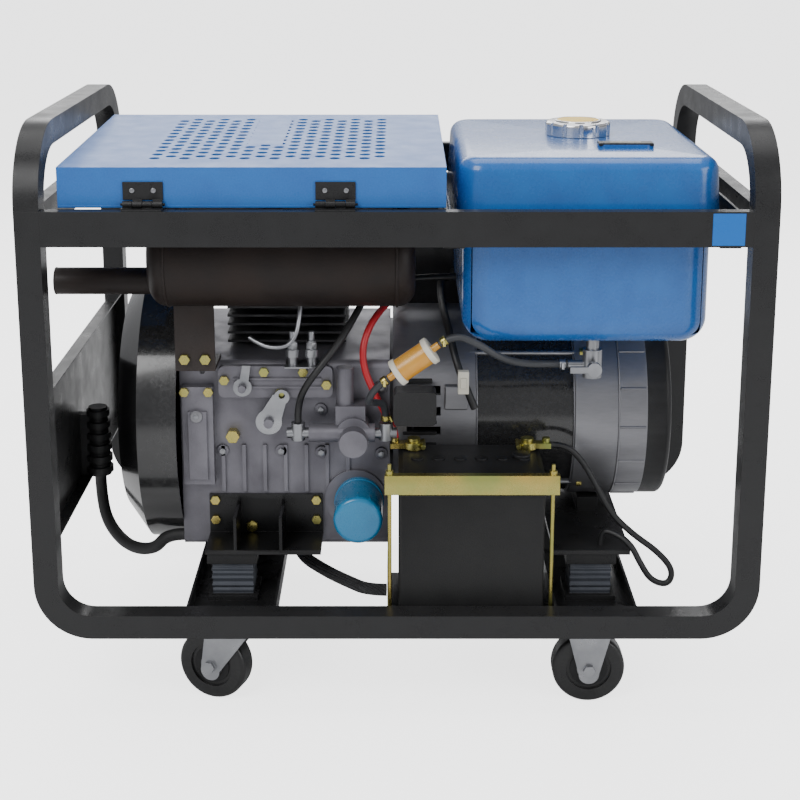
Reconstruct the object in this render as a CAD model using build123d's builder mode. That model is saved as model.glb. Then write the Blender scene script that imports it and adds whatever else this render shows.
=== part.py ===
"""Engine driven welder: an open tube frame on castors that carries a diesel engine, a welding
alternator, a fuel tank, a battery and a control box.

Millimetres. X runs along the frame, Y from the service side (negative) to the control side,
Z is up. The origin is on the ground under the middle of the frame.
"""
from build123d import *
import math
import os

os.makedirs("parts", exist_ok=True)

# ---------------------------------------------------------------- driving dimensions
frame_length = 890
frame_width = 560
frame_height = 633
castor_height = 107
tube = 30
low_bend = 70            # outer radius of the lower corners
high_bend = 96           # outer radius of the upper corners
rail_depth = 17
rail_height = 42
rail_drop = 96           # from the top of the hoops down to the top of the upper rails
sheet = 2                # sheet metal wall
plate = 4
channel_sheet = 3
channel_lift = 8         # crossmember web above the underside of the tubes

wheel_diameter = 92
wheel_width = 30
axle_radius = 5
run_clearance = 0.05     # radial clearance of running fits
side_clearance = 1.0     # beside wheels, levers and knuckles
castor_plate = 3
fork_sheet = 3
swivel_offset = 26
swivel_rest = -20        # degrees that the swivel castors stand turned

lid_length = 455
lid_depth = 390
lid_front_height = 48
lid_rise = 11
hole_diameter = 13
hole_pitch_x = 36
hole_pitch_y = 25
hinge_width = 47

tank_length = 320
tank_depth = 380
tank_upper = 99
tank_lower = 132
tank_inset = 10
neck_radius = 30

battery_length = 182
battery_depth = 116
battery_height = 182

shaft_radius = 20
alternator_radius = 130
rotor_radius = 70
housing_radius = 188
crankcase_length = 271
crankcase_depth = 280
crankcase_height = 252
muffler_radius = 64
muffler_length = 330
pipe_radius = 17

# ---------------------------------------------------------------- places that follow from them
frame_base = castor_height
frame_top = frame_base + frame_height
half_length = frame_length / 2
half_width = frame_width / 2
post_x = half_length - tube / 2
post_y = half_width - tube / 2
bend_start = frame_top - high_bend
rail_top = frame_top - rail_drop
rail_base = rail_top - rail_height
rail_inner = half_width - rail_depth
web_base = frame_base + channel_lift
web_top = web_base + channel_sheet
wheel_radius = wheel_diameter / 2
fork_top = web_base - castor_plate

axis_y = 10              # crankshaft line
axis_z = frame_base + 220
engine_left = -280
engine_right = engine_left + crankcase_length
engine_front = axis_y - crankcase_depth / 2
engine_back = axis_y + crankcase_depth / 2
engine_base = axis_z - 159
engine_top = engine_base + crankcase_height
bell_left = engine_right + 4
bell_right = bell_left + 108
stator_right = bell_right + 130
endbell_right = stator_right + 94
cover_right = endbell_right + 32
housing_left = engine_left - 80
mount_spread = 172       # mounts either side of the shaft line
mount_x = (-211, 249)
mount_y = (axis_y - mount_spread, axis_y + mount_spread)
mount_width = 52
foot_reach = mount_spread + 34
saddle_half = mount_width / 2 + 6
foot_base = engine_base + 14
foot_top = foot_base + 6
left_beam = (-263, 112)      # left edge and width
right_beam = (197, 103)
side_rail_gap = 5            # outer face of the hoops to the side rails
castor_lane = half_width - 55
fixed_x = right_beam[0] + right_beam[1] / 2 - 5
pivot_x = left_beam[0] + left_beam[1] / 2
race = 9                     # swivel race under its plate
race_gap = 0.4
bridge_half = 31             # half length of a fork's bridge
battery_left = 2
battery_front = tube - half_width + 10
tray_top = web_base + 7
tank_left = 70
tank_right = tank_left + tank_length
tank_front = -240
tank_back = tank_front + tank_depth
tank_seam = rail_top - 44
tank_base = tank_seam - tank_lower
tank_top = tank_seam + tank_upper
cap_place = (236, -30)
tap_place = (243, -190)


# ---------------------------------------------------------------- helpers
def save(piece, name):
    """Label a finished piece and write it."""
    piece.part.label = name
    export_step(piece.part, f"parts/{name}.step")


def block(x0, x1, y0, y1, z0, z1, mode=Mode.ADD):
    """A box between two corners, inside the open part."""
    with Locations(((x0 + x1) / 2, (y0 + y1) / 2, (z0 + z1) / 2)):
        Box(x1 - x0, y1 - y0, z1 - z0, mode=mode)


def rod_x(x0, x1, y, z, radius, mode=Mode.ADD):
    """A cylinder along X from x0 to x1."""
    with Locations(Location(((x0 + x1) / 2, y, z), (0, 90, 0))):
        Cylinder(radius, x1 - x0, mode=mode)


def rod_y(y0, y1, x, z, radius, mode=Mode.ADD):
    """A cylinder along Y from y0 to y1."""
    with Locations(Location((x, (y0 + y1) / 2, z), (90, 0, 0))):
        Cylinder(radius, y1 - y0, mode=mode)


def rod_z(z0, z1, x, y, radius, mode=Mode.ADD):
    """A cylinder along Z from z0 to z1."""
    with Locations((x, y, (z0 + z1) / 2)):
        Cylinder(radius, z1 - z0, mode=mode)


def arc_radii(points, limit):
    """Largest tangent arc for each inner point of a route."""
    radii = []
    for before, here, after in zip(points, points[1:], points[2:]):
        first = Vector(*here) - Vector(*before)
        second = Vector(*after) - Vector(*here)
        half_turn = math.radians(first.get_angle(second)) / 2
        radii.append(min(limit, 0.45 * min(first.length, second.length) / math.tan(half_turn)))
    return radii


def tube_route(name, points, diameter, limit=400):
    """A flexible lead or hose: straight runs joined by tangent arcs."""
    radii = arc_radii(points, limit)
    print(name, "radii", [round(radius) for radius in radii])
    start = Vector(*points[0])
    along = Vector(*points[1]) - start
    with BuildPart() as lead:
        with BuildLine() as path:
            FilletPolyline(*points, radius=radii)
        with BuildSketch(Plane(origin=start, z_dir=along)):
            Circle(diameter / 2)
        sweep(path=path.wires()[0])
    length = path.wires()[0].length
    expected = math.pi * diameter ** 2 / 4 * length
    print(name, "length", round(length), "volume ratio", round(lead.part.volume / expected, 4))
    save(lead, name)


# ---------------------------------------------------------------- frame
def frame_loop(name, side):
    """Bottom rail, two lower corners and two posts, at the front (-1) or the rear (1)."""
    with BuildPart() as loop:
        with BuildSketch(Plane.XZ.offset(-side * post_y)):
            with Locations((0, (frame_base + bend_start) / 2)):
                Rectangle(frame_length, bend_start - frame_base)
            corners = vertices().group_by(Axis.Y)[0]
            fillet(corners, low_bend)
        extrude(amount=tube / 2, both=True)
        inner_base = frame_base + tube
        with BuildSketch(Plane.XZ.offset(-side * post_y)) as opening:
            with Locations((0, (inner_base + bend_start) / 2 + tube)):
                Rectangle(frame_length - 2 * tube, bend_start - inner_base + 2 * tube)
            fillet(opening.vertices().group_by(Axis.Y)[0], low_bend - tube)
        extrude(amount=tube, both=True, mode=Mode.SUBTRACT)
    save(loop, name)


def top_bars():
    """The two bent tubes that join the front posts to the rear posts over the top."""
    with BuildPart() as bars:
        for side in (-1, 1):
            with BuildSketch(Plane.YZ.offset(side * post_x)) as outline:
                with Locations((0, (bend_start + frame_top) / 2)):
                    Rectangle(frame_width, high_bend)
                fillet(outline.vertices().group_by(Axis.Y)[-1], high_bend - 0.01)
            extrude(amount=tube / 2, both=True)
            with BuildSketch(Plane.YZ.offset(side * post_x)) as opening:
                with Locations((0, (bend_start + frame_top - tube) / 2 - tube)):
                    Rectangle(frame_width - 2 * tube, high_bend - tube + 2 * tube)
                fillet(opening.vertices().group_by(Axis.Y)[-1], high_bend - tube)
            extrude(amount=tube, both=True, mode=Mode.SUBTRACT)
    save(bars, "top_bars")


def upper_rails():
    """Flat tubes that ring the frame below the hoops, with the bearers and the rest welded between."""
    inner_x = half_length - tube
    with BuildPart() as rails:
        for y0 in (-half_width, rail_inner):
            block(-inner_x, inner_x, y0, y0 + rail_depth, rail_base, rail_top)
        for x0 in (side_rail_gap - half_length, half_length - side_rail_gap - rail_depth):
            block(x0, x0 + rail_depth, tube - half_width, half_width - tube, rail_base, rail_top)
        for x0, web in ((tank_left - 15, 0), (tank_right - 10, 22)):
            block(x0, x0 + 25, -rail_inner, rail_inner, tank_seam - 3, tank_seam)
            block(x0 + web, x0 + web + 3, -rail_inner, rail_inner, tank_seam, rail_top - 4)
        block(tank_left + 9, tank_right - 9, tank_front + 9, tank_back - 9, tank_seam - 3, tank_seam,
              mode=Mode.SUBTRACT)
        block(side_rail_gap - half_length + rail_depth, tank_left - 15, 96, 112, rail_top - 20, rail_top)
    save(rails, "upper_rails")


def crossmembers():
    """Two shallow channels across the bottom rails, with the castor plates, lower mount saddles
    and battery tray welded to them."""
    inner_y = half_width - tube
    flange_top = frame_base + tube
    with BuildPart() as channels:
        for x0, width in (left_beam, right_beam):
            block(x0, x0 + width, -inner_y, inner_y, web_base, web_top)
            for edge in (x0, x0 + width - channel_sheet):
                block(edge, edge + channel_sheet, -inner_y, inner_y, web_top, flange_top)
        for side in (-1, 1):
            y = side * castor_lane
            block(fixed_x - 46, fixed_x + 46, y - 24, y + 24, fork_top, web_base)
            block(pivot_x - 46, pivot_x + 46, y - 24, y + 24, fork_top, web_base)
            rod_z(fork_top - race + race_gap, fork_top, pivot_x, y, 22)
        for x in mount_x:
            for y in mount_y:
                block(x - saddle_half, x + saddle_half, y - 31, y + 31, web_top, web_top + 6)
        tray_left = battery_left - 14
        block(tray_left, right_beam[0], -inner_y, battery_front + battery_depth + 8, tray_top - 3, tray_top)
        block(tray_left, tray_left + 3, battery_front + 10, battery_front + 60, tray_top, tray_top + 60)
    save(channels, "crossmembers")


def end_plate():
    """The wide sheet that closes the lower part of the left end, with a folded lip."""
    x0 = 13 - half_length
    inner_y = half_width - tube
    with BuildPart() as panel:
        block(x0, x0 + sheet, -inner_y, inner_y, 229, 420)
        block(x0 + sheet, x0 + 16, -inner_y, inner_y, 420 - sheet, 420)
        block(x0 + sheet, x0 + 16, -inner_y, inner_y, 229, 229 + sheet)
    save(panel, "left_end_plate")


# ---------------------------------------------------------------- castors
def castor_plane(x, y, turn):
    """A level plane at a wheel's centre, turned about the vertical; its Y is the axle."""
    angle = math.radians(turn)
    return Plane(origin=(x, y, wheel_radius), x_dir=(math.cos(angle), math.sin(angle), 0), z_dir=(0, 0, 1))


def upright(place, distance):
    """An upright plane across the axle, at a distance along it."""
    origin = place.from_local_coords((0, distance, 0))
    return Plane(origin=origin, x_dir=place.x_dir, z_dir=-place.y_dir)


def wheel(name, place):
    """A rubber tyred castor wheel."""
    with BuildPart(place) as roller:
        with Locations(Location((0, 0, 0), (90, 0, 0))):
            Cylinder(wheel_radius, wheel_width)
        fillet(roller.edges().filter_by(GeomType.CIRCLE), 6)
        for side in (-1, 1):
            rod_y(side * wheel_width / 2 - 3, side * wheel_width / 2 + 3, 0, 0, wheel_radius * 0.62,
                  mode=Mode.SUBTRACT)
        rod_y(-wheel_width / 2, wheel_width / 2, 0, 0, axle_radius + 7)
        rod_y(-wheel_width / 2, wheel_width / 2, 0, 0, axle_radius + run_clearance, mode=Mode.SUBTRACT)
    save(roller, name)


def fork(place, top, shift):
    """Two tapered legs under a bridge, with the axle bolt through them."""
    leg = wheel_width / 2 + side_clearance
    reach = leg + fork_sheet
    with BuildPart(place) as carrier:
        for side in (-1, 1):
            with BuildSketch(upright(place, side * (leg + fork_sheet / 2))):
                with BuildLine():
                    Polyline((-13, -6), (13, -6), (shift + bridge_half, top), (shift - bridge_half, top), close=True)
                make_face()
                with Locations((0, -6)):
                    Circle(13)
            extrude(amount=fork_sheet / 2, both=True)
        block(shift - bridge_half, shift + bridge_half, -reach, reach, top, top + fork_sheet)
        rod_y(-reach - 5, reach + 5, 0, 0, axle_radius)
        for side in (-1, 1):
            with BuildSketch(upright(place, side * (reach + 2.5))):
                RegularPolygon(8, 6)
            extrude(amount=2.5, both=True)
    return carrier.part


def castors():
    """Two fixed castors under the right beam, two swivelling ones under the left."""
    angle = math.radians(swivel_rest)
    fixed_top = fork_top - fork_sheet - wheel_radius
    with BuildPart() as fixed_pair:
        for side in (-1, 1):
            add(fork(castor_plane(fixed_x, side * castor_lane, 0), fixed_top, 0))
    save(fixed_pair, "fixed_forks")
    for tag, side in (("front", -1), ("rear", 1)):
        y = side * castor_lane
        wheel(f"fixed_wheel_{tag}", castor_plane(fixed_x, y, 0))
        place = castor_plane(pivot_x - swivel_offset * math.cos(angle), y - swivel_offset * math.sin(angle),
                             swivel_rest)
        wheel(f"swivel_wheel_{tag}", place)
        with BuildPart() as swivel:
            add(fork(place, fixed_top - race, swivel_offset))
        save(swivel, f"swivel_fork_{tag}")


# ---------------------------------------------------------------- engine
def crankcase():
    """Block with a cavity for the crank, a ribbed front and a stepped gear cover at the left."""
    with BuildPart() as case:
        block(engine_left, engine_right, engine_front, engine_back, engine_base, engine_top)
        fillet(case.edges().filter_by(Axis.X), 10)
        rod_x(engine_left + 22, engine_right - 22, axis_y, axis_z, 66, mode=Mode.SUBTRACT)
        rod_x(engine_left, engine_right, axis_y, axis_z, shaft_radius + run_clearance, mode=Mode.SUBTRACT)
        rib_count = 7
        rib_left = engine_left + 52
        rib_pitch = (engine_right - 30 - rib_left) / rib_count
        for index in range(rib_count):
            x = rib_left + index * rib_pitch
            block(x, x + 5, engine_front - 4, engine_front, engine_base + 76, engine_top - 112)
        rod_y(engine_front - 6, engine_front, -54, 234, 40)
        rod_y(engine_front - 30, engine_front, -164, 345, 6)
        rod_y(engine_front - 30, engine_front, -197, 391, 5)
    save(case, "crankcase")


def front_covers():
    """Injection pump cover and governor cover on the engine's service side."""
    with BuildPart() as covers:
        block(-229, -82, engine_front - 10, engine_front, engine_top - 46, engine_top - 4)
        fillet(covers.edges().filter_by(Axis.Y), 8)
        for z0 in (engine_top - 33, engine_top - 22):
            block(-210, -96, engine_front - 13, engine_front - 10, z0, z0 + 3)
        block(-276, -236, engine_front - 16, engine_front, engine_base + 90, engine_top - 30)
        block(-268, -244, engine_front - 20, engine_front - 16, engine_base + 98, engine_top - 62)
        rod_y(engine_front - 30, engine_front, -197, 391, 5 + run_clearance, mode=Mode.SUBTRACT)
    save(covers, "engine_covers")


def cylinder_parts():
    """Finned barrel, head and rocker cover above the crankcase."""
    middle_x = -145
    with BuildPart() as barrel:
        rod_z(engine_top, engine_top + 100, middle_x, axis_y, 56)
        for index in range(8):
            z0 = engine_top + 8 + index * 11.5
            block(middle_x - 78, middle_x + 78, axis_y - 78, axis_y + 78, z0, z0 + 3)
        rod_z(engine_top, engine_top + 100, middle_x, axis_y, 43, mode=Mode.SUBTRACT)
    save(barrel, "cylinder_barrel")
    head_base = engine_top + 100
    with BuildPart() as head:
        block(middle_x - 80, middle_x + 80, axis_y - 74, axis_y + 80, head_base, head_base + 62)
        fillet(head.edges().filter_by(Axis.Z), 8)
        for index in range(4):
            z0 = head_base + 10 + index * 13
            block(middle_x - 84, middle_x + 84, axis_y - 80, axis_y - 66, z0, z0 + 4)
        with BuildSketch(Plane.XY.offset(head_base + 62)):
            with Locations((middle_x, axis_y + 15)):
                RectangleRounded(120, 110, 14)
        extrude(amount=36)
    save(head, "cylinder_head")
    with BuildPart() as cleaner:
        rod_x(-240, -70, axis_y + 160, head_base + 40, 62)
        block(-190, -150, axis_y + 80, axis_y + 110, head_base + 20, head_base + 56)
    save(cleaner, "air_cleaner")


def exhaust():
    """Muffler with its tail pipe, the stub from the head and a welded bracket down to the block."""
    muffler_x = -307
    muffler_y = -150
    muffler_z = 564
    with BuildPart() as can:
        rod_x(muffler_x, muffler_x + muffler_length, muffler_y, muffler_z, muffler_radius)
        fillet(can.edges().filter_by(GeomType.CIRCLE), 22)
        rod_x(muffler_x - 121, muffler_x + 30, muffler_y, muffler_z - 33, pipe_radius)
        rod_x(muffler_x - 121, muffler_x - 20, muffler_y, muffler_z - 33, pipe_radius - 2, mode=Mode.SUBTRACT)
        rod_y(muffler_y + 30, axis_y - 80, -100, muffler_z - 20, 19)
        hanger_top = muffler_z - muffler_radius + 8
        block(-278, -228, -174, -170, engine_top, hanger_top)
        block(-278, -228, -174, engine_front + 20, engine_top, engine_top + plate)
    save(can, "muffler")


def fan_housing():
    """Pressed steel shroud round the flywheel, open towards the engine, with an inlet ring."""
    with BuildPart() as shroud:
        with BuildSketch(Plane.XZ.offset(-axis_y)):
            with BuildLine():
                Polyline(
                    (engine_left, axis_z + housing_radius - sheet),
                    (engine_left, axis_z + housing_radius),
                    (housing_left + 30, axis_z + housing_radius),
                    (housing_left, axis_z + housing_radius - 40),
                    (housing_left, axis_z + 90),
                    (housing_left + sheet, axis_z + 90),
                    (housing_left + sheet, axis_z + housing_radius - 41),
                    (housing_left + 31, axis_z + housing_radius - sheet),
                    close=True,
                )
            make_face()
        revolve(axis=Axis((0, axis_y, axis_z), (1, 0, 0)))
        rod_x(housing_left, housing_left + sheet, axis_y, axis_z, 91)
        with BuildSketch(Plane.YZ.offset(housing_left)):
            with Locations((axis_y, axis_z)):
                for ring_radius, count in ((30, 8), (52, 14), (74, 20)):
                    with PolarLocations(ring_radius, count):
                        Circle(6)
        extrude(amount=sheet * 2, both=True, mode=Mode.SUBTRACT)
    save(shroud, "fan_housing")


def rotating_parts():
    """Crankshaft, flywheel and the rotor with its fan, on one line."""
    with BuildPart() as crank:
        rod_x(engine_left - 60, engine_left + 95, axis_y, axis_z, shaft_radius)
        rod_x(engine_right - 95, bell_left + 20, axis_y, axis_z, shaft_radius)
        for x0 in (engine_left + 70, engine_right - 95):
            rod_x(x0, x0 + 25, axis_y, axis_z, 58)
        rod_x(engine_left + 90, engine_right - 90, axis_y, axis_z - 35, 18)
    save(crank, "crankshaft")
    wheel_right = engine_left - 8
    wheel_left = wheel_right - 30
    with BuildPart() as flywheel:
        rod_x(wheel_left, wheel_right, axis_y, axis_z, 150)
        with BuildSketch(Plane.YZ.offset(wheel_left - 22)):
            with Locations((axis_y, axis_z)):
                with PolarLocations(120, 16):
                    Rectangle(44, 4)
        extrude(amount=22)
        rod_x(wheel_left, wheel_right, axis_y, axis_z, shaft_radius, mode=Mode.SUBTRACT)
    save(flywheel, "flywheel")
    fan_left = bell_left + 24
    with BuildPart() as rotor:
        rod_x(fan_left, fan_left + 4, axis_y, axis_z, 108)
        rod_x(fan_left, fan_left + 40, axis_y, axis_z, 34)
        with BuildSketch(Plane.YZ.offset(fan_left + 4)):
            with Locations((axis_y, axis_z)):
                with PolarLocations(82, 12):
                    Rectangle(50, 4)
        extrude(amount=26)
        rod_x(bell_right + 12, stator_right - 12, axis_y, axis_z, rotor_radius)
        rod_x(bell_left + 20, endbell_right + 6, axis_y, axis_z, 15)
        for side in (-1, 1):
            block(bell_right + 12, stator_right - 12, axis_y - 90, axis_y + 90, axis_z + side * rotor_radius - 22,
                  axis_z + side * rotor_radius + 22, mode=Mode.SUBTRACT)
    save(rotor, "rotor")


# ---------------------------------------------------------------- alternator
def shell_x(x0, x1, radius, wall):
    """A ring of sheet round the shaft line."""
    rod_x(x0, x1, axis_y, axis_z, radius)
    rod_x(x0, x1, axis_y, axis_z, radius - wall, mode=Mode.SUBTRACT)


def alternator():
    """Bell housing, stator with its cover, end bell with its bearing seat, and the slotted end cover."""
    with BuildPart() as bell:
        shell_x(bell_left, bell_right, alternator_radius, 8)
        for index in range(5):
            z0 = axis_z - 62 + index * 26
            block(bell_left + 18, bell_right - 46, axis_y - 200, axis_y + 200, z0, z0 + 11, mode=Mode.SUBTRACT)
        rod_x(bell_left - 4, bell_left, axis_y, axis_z, alternator_radius - 20)
        rod_x(bell_left - 4, bell_left, axis_y, axis_z, shaft_radius + 2, mode=Mode.SUBTRACT)
        rod_x(bell_left, bell_left + 6, axis_y, axis_z, alternator_radius - 4)
        rod_x(bell_left, bell_left + 6, axis_y, axis_z, shaft_radius + 2, mode=Mode.SUBTRACT)
    save(bell, "bell_housing")
    with BuildPart() as cover:
        rod_x(bell_right, stator_right, axis_y, axis_z, alternator_radius - 4)
        rod_x(bell_right, stator_right, axis_y, axis_z, rotor_radius + 1, mode=Mode.SUBTRACT)
        for x0, x1 in ((bell_right, bell_right + 10), (stator_right - 10, stator_right)):
            rod_x(x0, x1, axis_y, axis_z, alternator_radius - 7, mode=Mode.SUBTRACT)
        with BuildSketch(Plane.YZ.offset(bell_right + 10)):
            with Locations((axis_y, axis_z)):
                with PolarLocations(rotor_radius + 12, 24):
                    Rectangle(24, 7)
        extrude(amount=stator_right - bell_right - 20, mode=Mode.SUBTRACT)
    save(cover, "stator")
    with BuildPart() as endbell:
        shell_x(stator_right, endbell_right, alternator_radius, 8)
        rod_x(endbell_right - 8, endbell_right, axis_y, axis_z, alternator_radius - 4)
        rod_x(endbell_right - 8, endbell_right, axis_y, axis_z, 26, mode=Mode.SUBTRACT)
        with BuildSketch(Plane.YZ.offset(endbell_right - 8)):
            with Locations((axis_y, axis_z)):
                with PolarLocations(80, 8):
                    SlotOverall(60, 22)
        extrude(amount=8, mode=Mode.SUBTRACT)
        rod_x(endbell_right - 16, endbell_right, axis_y, axis_z, 26)
        rod_x(endbell_right - 16, endbell_right, axis_y, axis_z, 15 + run_clearance, mode=Mode.SUBTRACT)
    save(endbell, "end_bell")
    with BuildPart() as cover:
        rod_x(endbell_right, cover_right, axis_y, axis_z, alternator_radius)
        fillet(cover.edges().filter_by(GeomType.CIRCLE).group_by(Axis.X)[-1], 8)
        rod_x(endbell_right, cover_right - 3, axis_y, axis_z, alternator_radius - 3, mode=Mode.SUBTRACT)
        with BuildSketch(Plane.YZ.offset(cover_right - 3)):
            with Locations((axis_y, axis_z)):
                with PolarLocations(80, 18):
                    SlotOverall(64, 9)
        extrude(amount=3, mode=Mode.SUBTRACT)
    save(cover, "vent_cover")


def feet():
    """Rubber mounts between the crossmembers and the engine and alternator feet."""
    with BuildPart() as rubber:
        for x in mount_x:
            for y in mount_y:
                block(x - mount_width / 2, x + mount_width / 2, y - 25, y + 25, web_top + 6, foot_base - 14)
    save(rubber, "rubber_mounts")
    with BuildPart() as foot:
        for side in (-1, 1):
            face = axis_y + side * crankcase_depth / 2
            near, far = sorted((face, axis_y + side * foot_reach))
            inner, outer = sorted((face, face + side * plate))
            block(-245, -97, near, far, foot_base, foot_top)
            block(-245, -97, inner, outer, foot_top, foot_top + 52)
            for x in (-208, -150):
                block(x, x + plate, near, far, foot_top, foot_top + 44)
        block(200, 298, axis_y - foot_reach, axis_y + foot_reach, foot_base, foot_top)
        block(stator_right + 12, stator_right + 40, axis_y - 70, axis_y + 70, foot_top, axis_z - 120)
        rod_x(stator_right, endbell_right, axis_y, axis_z, alternator_radius, mode=Mode.SUBTRACT)
        for x in mount_x:
            for y in mount_y:
                block(x - saddle_half, x + saddle_half, y - 31, y + 31, foot_base - 14, foot_base)
    save(foot, "engine_feet")


# ---------------------------------------------------------------- service side fittings
pump_y = engine_front - 31
pump_z = 334


def oil_filter():
    """Spin-on canister that points at the service side."""
    with BuildPart() as can:
        rod_y(engine_front - 82, engine_front - 6, -49, 234, 31)
        fillet(can.edges().filter_by(GeomType.CIRCLE).group_by(Axis.Y)[0], 6)
    save(can, "oil_filter")


def lift_pump():
    """Fuel lift pump with two horizontal ports, and its hand primer."""
    z = pump_z
    with BuildPart() as pump:
        rod_y(engine_front - 60, engine_front, -55, z - 6, 18)
        rod_y(engine_front - 40, engine_front - 8, -55, z, 22)
        rod_x(-112, -28, pump_y, z, 12)
        block(-78, -40, engine_front - 34, engine_front, z + 10, z + 36)
        rod_z(z + 36, z + 84, -66, engine_front - 20, 11)
    save(pump, "lift_pump")


def levers():
    """Speed lever and stop lever, each on its own pivot stub from the block."""
    face = engine_front
    with BuildPart() as lever:
        with BuildSketch(Plane.XZ.offset(-face + 18)):
            with Locations((-164, 345)):
                Circle(17)
            with BuildLine():
                Polyline((-176, 354), (-158, 382), (-140, 376), (-150, 340), close=True)
            make_face()
            with Locations((-147, 378)):
                Circle(10)
            with Locations((-164, 345)):
                Circle(6 + run_clearance, mode=Mode.SUBTRACT)
            with Locations((-147, 380)):
                Circle(4, mode=Mode.SUBTRACT)
        extrude(amount=3)
    save(lever, "speed_lever")
    with BuildPart() as lever:
        with BuildSketch(Plane.XZ.offset(-face + 18)):
            with Locations((-197, 391)):
                Circle(12)
            with BuildLine():
                Polyline((-202, 391), (-197, 420), (-186, 420), (-190, 391), close=True)
            make_face()
            with Locations((-197, 391)):
                Circle(5 + run_clearance, mode=Mode.SUBTRACT)
        extrude(amount=3)
    save(lever, "stop_lever")


def small_fittings():
    """Relay box, pipe unions with the fuel tap, and the bolt heads of the service side."""
    with BuildPart() as box:
        block(-4, 50, -176, -146, 348, 392)
        fillet(box.edges().filter_by(Axis.Y), 6)
    save(box, "relay_box")
    face = engine_front
    tap_x, tap_y = tap_place
    with BuildPart() as fittings:
        for x in (-132, -108):
            rod_z(engine_top + 2, engine_top + 34, x, face - 22, 6)
            rod_z(engine_top + 13, engine_top + 23, x, face - 22, 9)
        block(-142, -98, face - 34, face, engine_top + 0, engine_top + 2)
        for x0, x1 in ((-140, -112), (-28, 0)):
            rod_x(x0, x1, pump_y, pump_z, 7)
            rod_z(pump_z - 9, pump_z + 14, (x0 + x1) / 2, pump_y, 9)
        rod_z(tank_base - 14, tank_base, tap_x, tap_y, 8)
        rod_z(tank_base - 50, tank_base - 14, tap_x, tap_y, 12)
        rod_x(tap_x - 30, tap_x - 8, tap_y, tank_base - 34, 5)
        rod_y(tap_y - 20, tap_y - 10, tap_x, tank_base - 34, 6)
    save(fittings, "fuel_fittings")
    with BuildPart() as bolts:
        with BuildSketch(Plane.XZ.offset(-face)):
            with Locations((-212, 322)):
                RegularPolygon(9, 6)
        extrude(amount=14)
        for x, z, depth in (
            (-237, 233, plate), (-237, 206, plate), (-105, 233, plate), (-105, 206, plate),
            (-221, 398, 10), (-170, 409, 10), (-120, 409, 10), (-90, 392, 10), (-150, 381, 10),
            (-272, 384, 16), (-241, 384, 16),
        ):
            with BuildSketch(Plane.XZ.offset(-face + depth)):
                with Locations((x, z)):
                    RegularPolygon(6.5, 6)
            extrude(amount=5)
        for x in (-266, -240):
            with BuildSketch(Plane.XZ.offset(174)):
                with Locations((x, engine_top + 16)):
                    RegularPolygon(7, 6)
            extrude(amount=6)
    save(bolts, "engine_bolts")


# ---------------------------------------------------------------- battery
def battery_group():
    """Battery, its terminal clamps, and the angle and two long rods that hold it down."""
    x0 = battery_left
    x1 = x0 + battery_length
    y0 = battery_front
    y1 = y0 + battery_depth
    z0 = tray_top
    z1 = z0 + battery_height
    with BuildPart() as case:
        block(x0, x1, y0, y1, z0, z1)
        fillet(case.edges().filter_by(Axis.Z), 4)
        block(x0 + 6, x1 - 6, y0 + 6, y1 - 6, z1, z1 + 3)
    save(case, "battery")
    with BuildPart() as clamps:
        for x, side in ((x0 + 20, -1), (x1 - 16, 1)):
            rod_z(z1 + 5, z1 + 14, x, y0 + 92, 12)
            near, far = sorted((x + side * 9, x + side * 30))
            block(near, far, y0 + 85, y0 + 99, z1 + 6, z1 + 13)
            rod_y(y0 + 78, y0 + 106, x - side * 12, z1 + 10, 3)
            rod_z(z1 + 13, z1 + 19, x + side * 24, y0 + 92, 5)
            rod_z(z1 + 3, z1 + 19, x, y0 + 92, 8)
    save(clamps, "battery_clamps")
    with BuildPart() as holder:
        block(x0 - 17, x1 + 17, y0 - 5, y0 - 2, z1 - 22, z1)
        block(x0 - 17, x1 + 17, y0 - 5, y0 + 5.5, z1, z1 + 3)
        for x in (x0 - 11, x1 + 9):
            rod_z(z0, z1 + 16, x, y0 + 1.5, 2.5)
            rod_z(z1 + 3, z1 + 8, x, y0 + 1.5, 5)
    save(holder, "battery_hold_down")


# ---------------------------------------------------------------- fuel system
def tank():
    """Two pressed halves joined at a seam, hollow, with a filler neck and a gauge; and the cap."""
    inset = tank_inset
    with BuildPart() as body:
        block(tank_left + inset, tank_right - inset, tank_front + inset, tank_back - inset, tank_base, tank_seam)
        fillet(body.edges().filter_by(Axis.Z), 36)
        fillet(body.faces().sort_by(Axis.Z)[0].edges(), 30)
        with BuildSketch(Plane.XY.offset(tank_seam)):
            with Locations(((tank_left + tank_right) / 2, (tank_front + tank_back) / 2)):
                RectangleRounded(tank_length, tank_depth, 34)
        extrude(amount=tank_upper, taper=3)
        fillet(body.faces().sort_by(Axis.Z)[-1].edges(), 18)
        block(tank_left + 20, tank_right - 20, tank_front + 20, tank_back - 20, tank_base + 12, tank_top - 10,
              mode=Mode.SUBTRACT)
        rod_z(tank_top - 12, tank_top + 8, *cap_place, neck_radius + 3)
        rod_z(tank_top - 12, tank_top + 8, *cap_place, neck_radius, mode=Mode.SUBTRACT)
        with BuildSketch(Plane.XY.offset(tank_top)):
            with Locations((283, -140)):
                SlotOverall(70, 22)
        extrude(amount=4)
    save(body, "fuel_tank")
    with BuildPart() as cap:
        rod_z(tank_top + 0.5, tank_top + 18, *cap_place, neck_radius + 12)
        fillet(cap.edges().filter_by(GeomType.CIRCLE).group_by(Axis.Z)[-1], 4)
        rod_z(tank_top + 0.5, tank_top + 12, *cap_place, neck_radius + 3.5, mode=Mode.SUBTRACT)
        with BuildSketch(Plane.XY.offset(tank_top + 0.5)):
            with Locations(cap_place):
                with PolarLocations(neck_radius + 12, 12):
                    Circle(3)
        extrude(amount=18, mode=Mode.SUBTRACT)
    save(cap, "fuel_cap")

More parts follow.
